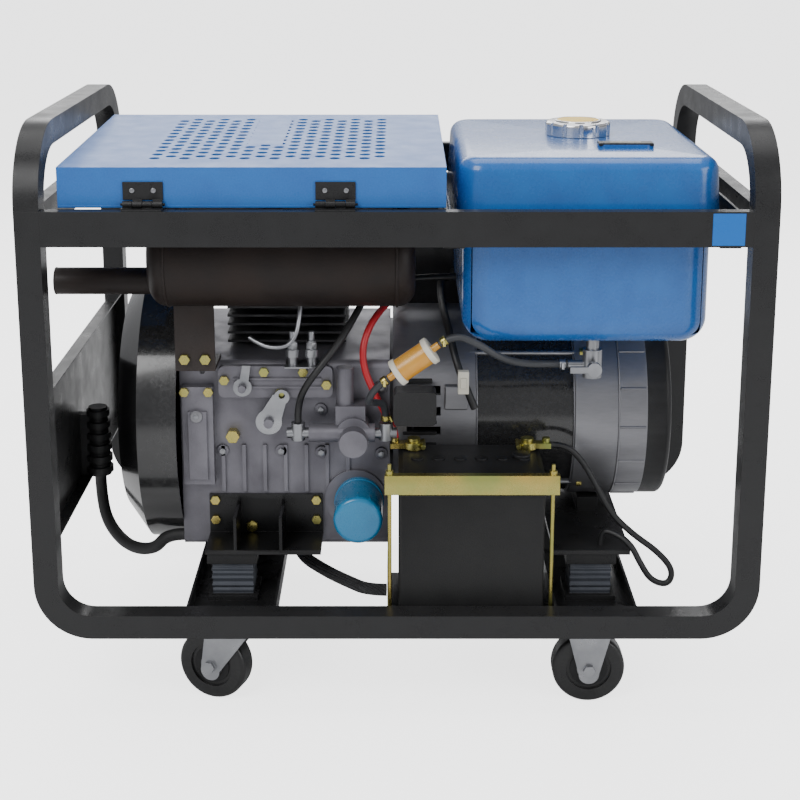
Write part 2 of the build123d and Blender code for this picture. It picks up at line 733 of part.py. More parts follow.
def fuel_line():
    """Lever of the tap under the tank, and the in-line filter."""
    x, y = tap_place
    with BuildPart() as lever:
        rod_y(y - 28, y - 20.3, x, tank_base - 34, 9)
        block(x - 30, x, y - 28, y - 24, tank_base - 38, tank_base - 30)
    save(lever, "tap_lever")
    centre = Vector(20.7, -240, 452)
    slope = Plane(origin=centre, z_dir=(40, 0, 28))
    with BuildPart(slope) as filter_cup:
        Cylinder(15, 44)
        for end in (-1, 1):
            with Locations((0, 0, end * 24)):
                Cylinder(17, 5)
            with Locations((0, 0, end * 31)):
                Cylinder(4.5, 12)
    save(filter_cup, "fuel_filter")


# ---------------------------------------------------------------- hinged cover
hinge_y = -half_width + rail_depth - 2
hinge_z = rail_top + 6
lid_left = -397
lid_right = lid_left + lid_length
lid_front = hinge_y + 5
lid_back = lid_front + lid_depth
lid_base = rail_top + 1
hinge_places = (-320, -95)


def cover():
    """Perforated sheet cover with a sloping top."""
    top = lid_base + lid_front_height
    with BuildPart() as lid:
        for inset, mode in ((0, Mode.ADD), (sheet, Mode.SUBTRACT)):
            with BuildSketch(Plane.YZ.offset(lid_left + inset)):
                with BuildLine():
                    Polyline(
                        (lid_front + inset, lid_base - inset), (lid_back - inset, lid_base - inset),
                        (lid_back - inset, top + lid_rise - inset), (lid_front + inset, top - inset), close=True,
                    )
                make_face()
            extrude(amount=lid_length - 2 * inset, mode=mode)
        with BuildSketch(Plane.XY.offset(top - 15)):
            with Locations(((lid_left + lid_right) / 2 + 5, (lid_front + lid_back) / 2)):
                for shift in (0, 1):
                    with Locations((shift * hole_pitch_x / 2, shift * hole_pitch_y / 2)):
                        with GridLocations(hole_pitch_x, hole_pitch_y, 8, 12):
                            Circle(hole_diameter / 2)
            with Locations((-166, lid_back - 120)):
                Rectangle(44, 240, mode=Mode.SUBTRACT)
        extrude(amount=40, mode=Mode.SUBTRACT)
    save(lid, "top_cover")


def hinges():
    """Two butt hinges: knuckles and pin on the rail, the other leaf on the cover."""
    third = hinge_width / 4
    with BuildPart() as fixed:
        for x in hinge_places:
            block(x, x + hinge_width, -half_width + 1, hinge_y, rail_top, rail_top + sheet)
            for slot in (0, 2):
                start = x + slot * third
                rod_x(start, start + third - side_clearance / 2, hinge_y, hinge_z, 4)
                block(start, start + third - side_clearance / 2, hinge_y - 3, hinge_y + 1, rail_top + sheet - 1, hinge_z)
            rod_x(x - 2.5, x + hinge_width + 2.5, hinge_y, hinge_z, 1.5)
    save(fixed, "hinge_bases")
    with BuildPart() as moving:
        for x in hinge_places:
            block(x, x + hinge_width, lid_front - sheet, lid_front, hinge_z + 5, hinge_z + 26)
            for slot in (1, 3):
                start = x + slot * third
                rod_x(start, start + third - side_clearance / 2, hinge_y, hinge_z, 4)
                block(start, start + third - side_clearance / 2, hinge_y, lid_front, hinge_z + 1.7, hinge_z + 6)
            rod_x(x - 3, x + hinge_width + 3, hinge_y, hinge_z, 1.5 + run_clearance, mode=Mode.SUBTRACT)
    save(moving, "hinge_leaves")


# ---------------------------------------------------------------- control box
box_left = -6
box_right = 330
box_front = 165
box_base = 330
box_top = tank_seam - 5
box_back = rail_inner
panel_face = box_back + plate
knob_place = (60, 470)
key_place = (20, 540)
breaker_place = (270, 540)


def control_box():
    """Sheet box on the control side with its panel and instruments."""
    with BuildPart() as box:
        block(box_left, box_right, box_front, box_back, box_base, box_top)
        block(box_left + sheet, box_right - sheet, box_front + sheet, box_back, box_base + sheet, box_top - sheet,
              mode=Mode.SUBTRACT)
        for x in (box_left + 20, box_right - 40):
            block(x, x + 20, box_back - 4, box_back, box_top, rail_base + 30)
        block(box_left, box_right, box_back, panel_face, box_base, box_top)
        for x, z, radius in ((*knob_place, 5.3), (*key_place, 6.3)):
            rod_y(box_back, panel_face, x, z, radius, mode=Mode.SUBTRACT)
        x, z = breaker_place
        block(x - 8, x + 8, box_back, panel_face, z - 16, z + 16, mode=Mode.SUBTRACT)
    save(box, "control_box")
    with BuildPart() as fittings:
        for x in (160, 215, 270):
            with BuildSketch(Plane.XZ.offset(-panel_face)):
                with Locations((x, 470)):
                    RectangleRounded(44, 44, 5)
                    Circle(16, mode=Mode.SUBTRACT)
            extrude(amount=-9)
        for x in (60, 130):
            rod_y(panel_face, panel_face + 10, x, 375, 22)
            rod_y(panel_face + 2, panel_face + 10, x, 375, 8, mode=Mode.SUBTRACT)
        block(120, 190, panel_face, panel_face + 8, 515, 570)
    save(fittings, "panel_fittings")
    with BuildPart() as knob:
        x, z = knob_place
        rod_y(panel_face + 0.5, panel_face + 12, x, z, 17)
        fillet(knob.edges().filter_by(GeomType.CIRCLE).group_by(Axis.Y)[-1], 2)
        rod_y(box_back - 15, panel_face + 0.5, x, z, 5)
        block(x - 1.5, x + 1.5, panel_face + 8, panel_face + 12.5, z, z + 16)
    save(knob, "current_knob")
    with BuildPart() as key:
        x, z = key_place
        rod_y(panel_face + 0.5, panel_face + 4, x, z, 11)
        rod_y(box_back - 15, panel_face + 0.5, x, z, 6)
        block(x - 2, x + 2, panel_face + 4, panel_face + 12, z - 10, z + 10)
    save(key, "start_key")
    with BuildPart() as toggle:
        x, z = breaker_place
        rod_x(x - 6, x + 6, box_back - 6, z, 6)
        block(x - 5, x + 5, box_back - 6, panel_face + 9, z - 3, z + 3)
    save(toggle, "breaker_toggle")


# ---------------------------------------------------------------- leads and hoses
fuel_supply = [(212.4, -190, 434), (188, -190, 434), (160, -210, 440), (128, -238, 454), (98, -246, 476),
               (69.5, -240, 486.2), (51.5, -240, 473.6)]
fuel_pump_hose = [(-10.1, -240, 430.4), (-27, -240, 418.5), (-36, -228, 396), (-30, -196, 386), (-14, -164, 374),
                  (-14, -161, 349)]
return_hose = [(-126, -161, 348.3), (-126, -161, 368), (-118, -176, 396), (-98, -178, 424), (-74, -164, 452),
               (-56, -134, 476), (-40, -104, 500), (-8, -70, 512), (36, -50, 512), (78.6, -46, 512)]
positive_lead = [(-2, -148, 323.4), (-2, -148, 332), (-16, -144, 356), (-30, -144, 384), (-42, -144, 414),
                 (-44, -140, 442), (-34, -126, 468), (-17, -104, 486), (2, -56, 490), (4, 20, 488), (4, 120, 486),
                 (4, 164.6, 486)]
negative_lead = [(198.4, -148, 313.5), (218, -148, 313.5), (240, -152, 292), (258, -160, 260), (276, -172, 228),
                 (302, -186, 206), (332, -198, 188), (352, -206, 166), (346, -208, 146), (324, -208, 152),
                 (310, -206, 174), (298, -200, 198), (280, -188, 208), (262, -180, 210), (262, -178, 188.4)]
harness = [(82, 164.6, 470), (82, 124, 472), (64, 92, 476), (60, 40, 480), (60, -40, 474), (68, -104, 452),
           (76, -134, 420), (88, -142, 390), (100, -140, 360)]
engine_conduit = [(-406, -34, 231.6), (-406, -34, 200), (-394, -58, 168), (-360, -96, 150), (-322, -119, 156),
                  (-304, -121, 179), (-280.4, -121, 179)]
braided_hose = [(-132, -108, 167.6), (-132, -108, 146), (-92, -140, 134), (-60, -172, 133),
                (-38, -191, 132), (-13, -192, 132)]


def leads():
    """Hoses and leads that hang between fittings, and the boot where a conduit leaves the end plate."""
    tube_route("fuel_hose_supply", fuel_supply, 9)
    tube_route("fuel_hose_pump", fuel_pump_hose, 9)
    tube_route("return_hose", return_hose, 9)
    tube_route("positive_lead", positive_lead, 9)
    tube_route("negative_lead", negative_lead, 8)
    tube_route("harness", harness, 10)
    tube_route("engine_conduit", engine_conduit, 16)
    with BuildPart() as boot:
        for index in range(6):
            z0 = 232 + index * 16
            rod_z(z0, z0 + 16, -406, -34, 15 - index * 0.5)
            rod_z(z0 + 4, z0 + 12, -406, -34, 18 - index * 0.5)
        block(-430, -406, -42, -26, 232, 318)
    save(boot, "cable_boot")
    tube_route("braided_hose", braided_hose, 16)


frame_loop("front_frame", -1)
frame_loop("rear_frame", 1)
top_bars()
upper_rails()
crossmembers()
end_plate()
castors()
crankcase()
front_covers()
cylinder_parts()
exhaust()
fan_housing()
rotating_parts()
alternator()
feet()
oil_filter()
lift_pump()
levers()
small_fittings()
battery_group()
tank()
fuel_line()
cover()
hinges()
control_box()
leads()
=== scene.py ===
"""The engine driven welder as seen: finishes, cords, small fittings, floor, lights and camera."""
import math

import bmesh
import bpy
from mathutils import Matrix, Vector


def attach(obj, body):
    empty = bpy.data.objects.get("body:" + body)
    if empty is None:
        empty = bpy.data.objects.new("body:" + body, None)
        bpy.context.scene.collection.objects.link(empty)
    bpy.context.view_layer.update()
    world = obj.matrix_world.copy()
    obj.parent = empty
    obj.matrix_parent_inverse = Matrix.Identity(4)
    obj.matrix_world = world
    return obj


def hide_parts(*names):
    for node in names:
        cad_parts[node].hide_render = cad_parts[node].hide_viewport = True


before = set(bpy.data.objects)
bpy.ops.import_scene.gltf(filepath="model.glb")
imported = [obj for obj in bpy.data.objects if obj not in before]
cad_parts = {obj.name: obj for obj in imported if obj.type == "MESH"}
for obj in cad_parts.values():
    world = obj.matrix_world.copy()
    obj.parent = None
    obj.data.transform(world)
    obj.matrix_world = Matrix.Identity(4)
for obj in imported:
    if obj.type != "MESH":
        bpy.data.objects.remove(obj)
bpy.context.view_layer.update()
MM = 0.001
MIX_INPUTS = (0, 6, 7)        # the factor and the two colours of a colour mix
MIX_COLOUR_OUTPUT = 2
EDGE_RADIUS = 0.0009          # softened edges, in metres
GRAIN_HEIGHT = 0.0006
SMOOTH_ANGLE = math.radians(32)
DUST_COLOUR = (0.42, 0.4, 0.37)


# ---------------------------------------------------------------- finishes
def link(tree, a, b):
    """Joins one node's output to another's input."""
    tree.links.new(a, b)


def noise(tree, coords, scale, detail, stretch=(1, 1, 1)):
    """A noise texture in the row frame, stretched along an axis where asked."""
    mapping = tree.nodes.new("ShaderNodeMapping")
    mapping.inputs["Scale"].default_value = stretch
    texture = tree.nodes.new("ShaderNodeTexNoise")
    texture.inputs["Scale"].default_value = scale
    texture.inputs["Detail"].default_value = detail
    link(tree, coords, mapping.inputs["Vector"])
    link(tree, mapping.outputs["Vector"], texture.inputs["Vector"])
    return texture.outputs["Fac"]


def ranged(tree, value, low, high, start=0.3, end=0.7):
    """The value between start and end, spread from low to high."""
    node = tree.nodes.new("ShaderNodeMapRange")
    node.inputs["From Min"].default_value = start
    node.inputs["From Max"].default_value = end
    node.inputs["To Min"].default_value = low
    node.inputs["To Max"].default_value = high
    link(tree, value, node.inputs["Value"])
    return node.outputs["Result"]


def maths(tree, operation, a, b):
    """One sum on two sockets or numbers."""
    node = tree.nodes.new("ShaderNodeMath")
    node.operation = operation
    for socket, value in zip(node.inputs, (a, b)):
        if isinstance(value, (int, float)):
            socket.default_value = value
        else:
            link(tree, value, socket)
    return node.outputs["Value"]


def mixed(tree, factor, a, b):
    """A blend of two colours, each a socket or three numbers."""
    node = tree.nodes.new("ShaderNodeMix")
    node.data_type = "RGBA"
    factor_input, first_colour, second_colour = (node.inputs[index] for index in MIX_INPUTS)
    link(tree, factor, factor_input)
    for socket, value in zip((first_colour, second_colour), (a, b)):
        if isinstance(value, tuple):
            socket.default_value = (*value, 1)
        else:
            link(tree, value, socket)
    return node.outputs[MIX_COLOUR_OUTPUT]


def finish(name, base, alt, metal=0.0, rough=0.4, vary=0.1, scale=30, grain=600, bump=0.1, coat=0.0,
           dust=0.035, stretch=(1, 1, 1), clear=0.0, pattern=None, patch=None, shine=0.5):
    """A painted, plated, cast or moulded surface: mottled colour, uneven gloss, fine grain, soft
    edges and a little dust on what faces up."""
    material = bpy.data.materials.new(name)
    material.use_nodes = True
    tree = material.node_tree
    shader = tree.nodes["Principled BSDF"]
    place = tree.nodes.new("ShaderNodeTexCoord").outputs["Object"]
    mottle = noise(tree, place, scale, 4, stretch)
    fine = noise(tree, place, grain, 6, stretch)
    colour = mixed(tree, ranged(tree, mottle, 0, 1), base, alt)
    geometry = tree.nodes.new("ShaderNodeNewGeometry")
    split = tree.nodes.new("ShaderNodeSeparateXYZ")
    link(tree, geometry.outputs["Normal"], split.inputs["Vector"])
    upward = ranged(tree, split.outputs["Z"], 0, dust, 0.2, 1)
    settled = maths(tree, "MULTIPLY", upward, ranged(tree, mottle, 0.4, 1))
    colour = mixed(tree, settled, colour, DUST_COLOUR)
    worn = ranged(tree, geometry.outputs["Pointiness"], 0, 0.35, 0.53, 0.6)
    bare = tuple(min(1, c * 1.6 + 0.08) for c in alt)
    colour = mixed(tree, maths(tree, "MULTIPLY", worn, fine), colour, bare)
    if patch:
        colour = mixed(tree, patch_mask(tree, place, patch[0]), colour, patch[1])
    link(tree, colour, shader.inputs["Base Color"])
    broad = ranged(tree, mottle, rough - vary / 2, rough + vary / 2)
    gloss = maths(tree, "ADD", broad, ranged(tree, fine, -0.03, 0.05))
    link(tree, maths(tree, "ADD", gloss, settled), shader.inputs["Roughness"])
    shader.inputs["Metallic"].default_value = metal
    shader.inputs["Coat Weight"].default_value = coat
    shader.inputs["Coat Roughness"].default_value = 0.08
    shader.inputs["Specular IOR Level"].default_value = shine
    shader.inputs["Transmission Weight"].default_value = clear
    height = fine
    if pattern:
        wave = tree.nodes.new("ShaderNodeTexWave")
        wave.wave_type = "BANDS"
        wave.bands_direction = pattern[0]
        wave.inputs["Scale"].default_value = pattern[1]
        link(tree, place, wave.inputs["Vector"])
        height = maths(tree, "ADD", maths(tree, "MULTIPLY", wave.outputs["Fac"], pattern[2]), fine)
    edge = tree.nodes.new("ShaderNodeBevel")
    edge.samples = 4
    edge.inputs["Radius"].default_value = EDGE_RADIUS
    raised = tree.nodes.new("ShaderNodeBump")
    raised.inputs["Strength"].default_value = bump
    raised.inputs["Distance"].default_value = GRAIN_HEIGHT
    link(tree, height, raised.inputs["Height"])
    link(tree, edge.outputs["Normal"], raised.inputs["Normal"])
    link(tree, raised.outputs["Normal"], shader.inputs["Normal"])
    return material


def patch_mask(tree, place, limits):
    """1 inside a box in the row frame, in millimetres, and 0 outside it."""
    split = tree.nodes.new("ShaderNodeSeparateXYZ")
    link(tree, place, split.inputs["Vector"])
    mask = 1.0
    for axis, (low, high) in zip("XYZ", limits):
        above = maths(tree, "GREATER_THAN", split.outputs[axis], low * MM)
        below = maths(tree, "LESS_THAN", split.outputs[axis], high * MM)
        mask = maths(tree, "MULTIPLY", mask, maths(tree, "MULTIPLY", above, below))
    return mask


blue = (0.012, 0.13, 0.43)
deep_blue = (0.009, 0.105, 0.37)
black = (0.0025, 0.0025, 0.003)
soft_black = (0.006, 0.006, 0.0065)
F = {
    "frame": finish("frame_paint", black, soft_black, rough=0.3, vary=0.12, grain=900, bump=0.14, coat=0.0,
                    dust=0.008, shine=0.3),
    "rail": finish("rail_paint", black, soft_black, rough=0.3, vary=0.12, grain=900, bump=0.14, coat=0.0,
                   dust=0.008, shine=0.3, patch=(((367, 405), (-281, -279), (604, 642)), (0.012, 0.14, 0.5))),
    "box": finish("box_paint", black, soft_black, rough=0.34, vary=0.1, grain=900, bump=0.2, coat=0.1,
                  dust=0.015, patch=(((-5.5, 329.5), (266, 268), (331, 594)), (0.5, 0.51, 0.52))),
    "lid": finish("lid_paint", blue, deep_blue, rough=0.36, vary=0.1, grain=500, bump=0.1, coat=0.08,
                  dust=0.01, shine=0.4),
    "tank": finish("tank_paint", blue, deep_blue, rough=0.26, vary=0.08, grain=260, bump=0.05, coat=0.45,
                   dust=0.015),
    "chrome": finish("chrome", (0.8, 0.8, 0.8), (0.62, 0.62, 0.64), metal=1, rough=0.14, vary=0.08, bump=0.04),
    "alloy": finish("cast_alloy", (0.2, 0.195, 0.22), (0.135, 0.13, 0.15), metal=0.5, rough=0.46, vary=0.16,
                    scale=24, grain=750, bump=0.35),
    "bell": finish("machined_alloy", (0.27, 0.27, 0.285), (0.2, 0.2, 0.215), metal=0.75, rough=0.36, vary=0.14,
                   grain=420, bump=0.2, stretch=(0.2, 1, 1)),
    "head": finish("head_alloy", (0.05, 0.05, 0.053), (0.025, 0.025, 0.028), metal=0.3, rough=0.5, vary=0.2,
                   bump=0.4),
    "gold": finish("yellow_zinc", (0.5, 0.36, 0.1), (0.3, 0.33, 0.1), metal=0.95, rough=0.28, vary=0.14,
                   scale=18, grain=500, bump=0.08, dust=0.03),
    "zinc": finish("bright_zinc", (0.36, 0.365, 0.38), (0.24, 0.245, 0.26), metal=0.95, rough=0.34, vary=0.16,
                   bump=0.12),
    "muffler": finish("hot_paint", (0.011, 0.008, 0.0075), (0.024, 0.016, 0.013), rough=0.46, vary=0.2,
                      scale=14, grain=700, bump=0.3, dust=0.01, shine=0.25),
    "gloss": finish("gloss_black", black, (0.007, 0.007, 0.0075), rough=0.18, vary=0.08, grain=200, bump=0.06,
                    coat=0.5, dust=0.012),
    "steel": finish("turned_steel", (0.45, 0.45, 0.46), (0.33, 0.33, 0.34), metal=1, rough=0.3, vary=0.1,
                    bump=0.1),
    "iron": finish("cast_iron", (0.13, 0.13, 0.13), (0.08, 0.08, 0.085), metal=0.7, rough=0.5, vary=0.2,
                   bump=0.4),
    "mount": finish("mount_rubber", (0.06, 0.068, 0.085), (0.04, 0.046, 0.06), rough=0.7, vary=0.14, bump=0.8,
                    pattern=("Z", 40, 3)),
    "rubber": finish("rubber", (0.006, 0.006, 0.0065), (0.013, 0.013, 0.014), rough=0.46, vary=0.15,
                     bump=0.25, dust=0.02),
    "boot": finish("boot_rubber", (0.006, 0.006, 0.0065), (0.012, 0.012, 0.013), rough=0.56, vary=0.15,
                   bump=0.3, dust=0.02),
    "hose": finish("fuel_hose", (0.022, 0.024, 0.028), (0.036, 0.039, 0.044), rough=0.5, vary=0.14, bump=0.2),
    "braid": finish("braided_sleeve", (0.01, 0.01, 0.011), (0.035, 0.035, 0.037), rough=0.56, vary=0.2,
                    scale=380, bump=0.9, pattern=("DIAGONAL", 110, 3)),
    "wheel": finish("castor_tread", (0.004, 0.004, 0.0045), (0.009, 0.009, 0.009), rough=0.34, vary=0.16,
                    bump=0.2, dust=0.02),
    "filter": finish("filter_enamel", (0.008, 0.21, 0.42), (0.006, 0.17, 0.36), rough=0.26, vary=0.08,
                     bump=0.06, coat=0.4, dust=0.02),
    "amber": finish("amber_cup", (0.75, 0.34, 0.04), (0.8, 0.45, 0.09), rough=0.22, vary=0.06, bump=0.06,
                    clear=0.25),
    "cream": finish("cream_plastic", (0.68, 0.66, 0.56), (0.6, 0.57, 0.48), rough=0.42, vary=0.1, bump=0.12),
    "trim": finish("moulded_black", (0.005, 0.005, 0.0055), (0.011, 0.011, 0.012), rough=0.42, vary=0.14,
                   grain=1100, bump=0.4, dust=0.01, shine=0.3),
    "battery": finish("battery_case", (0.003, 0.003, 0.0035), (0.007, 0.007, 0.007), rough=0.36, vary=0.12,
                      grain=900, bump=0.35, dust=0.008, shine=0.2),
    "red": finish("red_sleeve", (0.52, 0.014, 0.022), (0.42, 0.012, 0.02), rough=0.34, vary=0.1, bump=0.12),
    "yellow": finish("yellow_print", (0.8, 0.52, 0.01), (0.72, 0.45, 0.01), rough=0.45, vary=0.1, bump=0.08),
}
USES = {
    "frame": "front_frame rear_frame top_bars crossmembers left_end_plate engine_feet hinge_bases hinge_leaves",
    "box": "control_box",
    "rail": "upper_rails", "lid": "top_cover", "tank": "fuel_tank", "chrome": "fuel_cap",
    "alloy": "crankcase engine_covers lift_pump", "bell": "bell_housing end_bell",
    "head": "cylinder_barrel cylinder_head", "gold": "engine_bolts battery_hold_down battery_clamps",
    "zinc": "fixed_forks swivel_fork_front swivel_fork_rear speed_lever stop_lever tap_lever fuel_fittings",
    "muffler": "muffler", "gloss": "fan_housing stator", "steel": "crankshaft", "iron": "flywheel rotor",
    "mount": "rubber_mounts", "boot": "cable_boot",
    "wheel": "fixed_wheel_front fixed_wheel_rear swivel_wheel_front swivel_wheel_rear",
    "filter": "oil_filter", "amber": "fuel_filter", "battery": "battery",
    "trim": "relay_box vent_cover panel_fittings current_knob start_key breaker_toggle air_cleaner",
}
for key, names in USES.items():
    for name in names.split():
        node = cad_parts[name]
        node.data.materials.clear()
        node.data.materials.append(F[key])
        node.data.polygons.foreach_set("use_smooth", [True] * len(node.data.polygons))
        weld = node.modifiers.new("weld", "WELD")
        weld.merge_threshold = 0.00001
        split_edges = node.modifiers.new("edges", "EDGE_SPLIT")
        split_edges.split_angle = SMOOTH_ANGLE


# ---------------------------------------------------------------- added pieces
def piece(name, mesh, finish_key, body="frame", smooth=True, bevel=0.0):
    """Places a mesh with its finish and lets it ride on a body."""
    obj = bpy.data.objects.new(name, mesh)
    bpy.context.scene.collection.objects.link(obj)
    mesh.materials.append(F[finish_key])
    if bevel:
        rounding = obj.modifiers.new("bevel", "BEVEL")
        rounding.width = bevel * MM
        rounding.segments = 2
        rounding.limit_method = "ANGLE"
    if smooth:
        mesh.polygons.foreach_set("use_smooth", [True] * len(mesh.polygons))
        edges = obj.modifiers.new("edges", "EDGE_SPLIT")
        edges.split_angle = SMOOTH_ANGLE
    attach(obj, body)
    return obj


def rod(name, start, end, radius, finish_key, body="frame", sides=40, bevel=0.0):
    """A round or many-sided bar between two points, in millimetres."""
    a, b = Vector(start) * MM, Vector(end) * MM
    turn = (b - a).to_track_quat("Z", "Y").to_matrix().to_4x4()
    turn.translation = (a + b) / 2
    mesh = bpy.data.meshes.new(name)
    shape = bmesh.new()
    bmesh.ops.create_cone(shape, cap_ends=True, segments=sides, radius1=radius * MM, radius2=radius * MM,
                          depth=(b - a).length, matrix=turn)
    shape.to_mesh(mesh)
    shape.free()
    return piece(name, mesh, finish_key, body, bevel=bevel)


def slab(name, low, high, finish_key, body="frame", bevel=0.6):
    """A box between two corners, in millimetres."""
    mesh = bpy.data.meshes.new(name)
    shape = bmesh.new()
    bmesh.ops.create_cube(shape, size=1)
    for vertex in shape.verts:
        vertex.co = [(h + l) / 2 * MM + c * (h - l) * MM for c, l, h in zip(vertex.co, low, high)]
    shape.to_mesh(mesh)
    shape.free()
    return piece(name, mesh, finish_key, body, smooth=False, bevel=bevel)


def line(name, points, radius, finish_key, body="frame", closed=False, straight=False):
    """A round wire through given points, in millimetres."""
    data = bpy.data.curves.new(name, "CURVE")
    data.dimensions = "3D"
    data.resolution_u = 10
    data.bevel_depth = radius * MM
    data.bevel_resolution = 5
    data.use_fill_caps = True
    run = data.splines.new("POLY" if straight else "NURBS")
    run.points.add(len(points) - 1)
    for slot, point in zip(run.points, points):
        slot.co = (*(v * MM for v in point), 1)
    run.use_cyclic_u = closed
    if not straight:
        run.order_u = 3
        run.use_endpoint_u = not closed
    data.materials.append(F[finish_key])
    obj = bpy.data.objects.new(name, data)
    bpy.context.scene.collection.objects.link(obj)
    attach(obj, body)
    return obj


def clamp(name, centre, along, radius, finish_key="gold"):
    """A hose clamp: a band with a screw lug."""
    direction = Vector(along).normalized()
    middle = Vector(centre)
    rod(name + "_band", middle - direction * 3.5, middle + direction * 3.5, radius, finish_key, bevel=0.5)
    side = direction.cross(Vector((0, 0, 1)))
    side = side.normalized() if side.length > 0.1 else Vector((1, 0, 0))
    rod(name + "_screw", middle + side * (radius - 1) + Vector((0, -3, 3)),
        middle + side * (radius + 2) + Vector((0, -3, -4)), 2.2, finish_key, sides=12)


# ---------------------------------------------------------------- cords
CORDS = [
    ("fuel_hose_supply", "hose", 9, 0.191, "medium",
     [(212.4, -190, 434), (188, -190, 434), (160, -210, 440), (128, -238, 454), (98, -246, 476),
      (69.5, -240, 486.2), (51.5, -240, 473.6)]),
    ("fuel_hose_pump", "hose", 9, 0.140, "medium",
     [(-10.1, -240, 430.4), (-27, -240, 418.5), (-36, -228, 396), (-30, -196, 386), (-14, -164, 374),
      (-14, -161, 349)]),
    ("return_hose", "rubber", 9, 0.348, "medium",
     [(-126, -161, 348.3), (-126, -161, 368), (-118, -176, 396), (-98, -178, 424), (-74, -164, 452),
      (-56, -134, 476), (-40, -104, 500), (-8, -70, 512), (36, -50, 512), (78.6, -46, 512)]),
    ("positive_lead", "red", 9, 0.463, "medium",
     [(-2, -148, 323.4), (-2, -148, 332), (-16, -144, 356), (-30, -144, 384), (-42, -144, 414),
      (-44, -140, 442), (-34, -126, 468), (-17, -104, 486), (2, -56, 490), (4, 20, 488),
      (4, 120, 486), (4, 164.6, 486)]),
    ("negative_lead", "rubber", 8, 0.381, "medium",
     [(198.4, -148, 313.5), (218, -148, 313.5), (240, -152, 292), (258, -160, 260), (276, -172, 228),
      (302, -186, 206), (332, -198, 188), (352, -206, 166), (346, -208, 146), (324, -208, 152),
      (310, -206, 174), (298, -200, 198), (280, -188, 208), (262, -180, 210), (262, -178, 188.4)]),
    ("harness", "rubber", 10, 0.385, "medium",
     [(82, 164.6, 470), (82, 124, 472), (64, 92, 476), (60, 40, 480), (60, -40, 474), (68, -104, 452),
      (76, -134, 420), (88, -142, 390), (100, -140, 360)]),
    ("engine_conduit", "boot", 16, 0.219, "stiff",
     [(-406, -34, 231.6), (-406, -34, 200), (-394, -58, 168), (-360, -96, 150), (-322, -119, 156),
      (-304, -121, 179), (-280.4, -121, 179)]),
    ("braided_hose", "braid", 16, 0.170, "stiff",
     [(-132, -108, 167.6), (-132, -108, 146), (-92, -140, 134), (-60, -172, 133), (-38, -191, 132),
      (-13, -192, 132)]),
]
for name, finish_key, diameter, length, stiffness, points in CORDS:
    tube = line(name + "_run", points, diameter / 2, finish_key)
    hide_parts(name)

# ---------------------------------------------------------------- small fittings
def ring(name, centre, radius, wire, finish_key, axis="x", body="frame"):
    """A closed round bead about a row axis."""
    points = []
    for step in range(48):
        turn = math.tau * step / 48
        u, v = radius * math.cos(turn), radius * math.sin(turn)
        offset = {"x": (0, u, v), "y": (u, 0, v), "z": (u, v, 0)}[axis]
        points.append(tuple(c + o for c, o in zip(centre, offset)))
    return line(name, points, wire, finish_key, body, closed=True, straight=True)


clamp("filter_clamp_high", (57, -240, 477.5), (18, 0, 12.6), 6.2)
clamp("filter_clamp_low", (-15, -240, 427), (17, 0, 12), 6.2)
clamp("pump_hose_clamp", (-14, -161, 354), (0, 0, 1), 6.2)
clamp("tap_hose_clamp", (206, -190, 434), (1, 0, 0), 6.2, "zinc")
cup_centre, cup_axis = Vector((20.7, -240, 452)), Vector((40, 0, 28)).normalized()
for tag, side in (("low", -1), ("high", 1)):
    rod(f"filter_end_{tag}", cup_centre + cup_axis * side * 19.5, cup_centre + cup_axis * side * 26.8, 17.3,
        "cream", bevel=1)
slab("harness_connector", (78, -152, 382), (92, -141, 412), "cream", bevel=1)
slab("harness_connector_latch", (81, -154, 390), (89, -152, 404), "cream", bevel=0.6)

rod("cap_badge", (236, -30, 716.6), (236, -30, 718.6), 27, "yellow", "cap", bevel=0.2)
ring("cap_badge_rim", (236, -30, 717.4), 28.5, 1.6, "chrome", "z", "cap")
slab("gauge_window", (249, -150, 701), (317, -130, 705), "trim", bevel=1.2)
slab("gauge_scale", (264, -141, 704), (302, -139, 705.4), "cream", bevel=0.2)

seam = []
for corner_x, corner_y, start in ((356, 106, 0), (104, 106, 90), (104, -206, 180), (356, -206, 270)):
    for step in range(9):
        turn = math.radians(start + step * 11.25)
        seam.append((corner_x + 34.5 * math.cos(turn), corner_y + 34.5 * math.sin(turn), 600))
line("tank_seam", seam, 2.2, "tank", closed=True, straight=True)
for tag, x in (("left", -284), ("right", 0)):
    ring(f"muffler_seam_{tag}", (x, -150, 564), 64, 1.7, "muffler")
ring("tail_pipe_lip", (-427, -150, 531), 16.3, 1.1, "muffler")
line("injection_pipe", [(-187, -146, 456), (-172, -154, 448), (-150, -158, 445), (-133, -156, 450),
                        (-124, -152, 470), (-122, -140, 496)], 3, "zinc")
for index, (x, z) in enumerate(((-132, 447), (-108, 447))):
    rod(f"pipe_union_nut_{index}", (x, -152, z - 5), (x, -152, z + 5), 7.5, "zinc", sides=6, bevel=0.6)
    rod(f"pipe_union_neck_{index}", (x, -152, z + 5), (x, -152, z + 19), 4.2, "zinc", bevel=0.6)

for tag, degrees in enumerate((45, 135, 225, 315)):
    turn = math.radians(degrees)
    y, z = 10 + 127 * math.cos(turn), 327 + 127 * math.sin(turn)
    rod(f"alternator_tie_{tag}", (96, y, z), (240, y, z), 3.2, "zinc")
    rod(f"alternator_tie_nut_{tag}", (240, y, z), (247, y, z), 6.5, "gold", sides=6, bevel=0.6)
for index in range(16):
    turn = math.tau * index / 16
    y, z = 10 + 130 * math.cos(turn), 327 + 130 * math.sin(turn)
    rod(f"end_bell_rib_{index}", (292, y, z), (325, y, z), 1.8, "bell")
for tag, x in (("left", 104.5), ("right", 231.5)):
    ring(f"stator_joint_{tag}", (x, 10, 327), 128.4, 1.2, "bell")
ring("end_bell_step", (290, 10, 327), 130, 1.4, "bell")
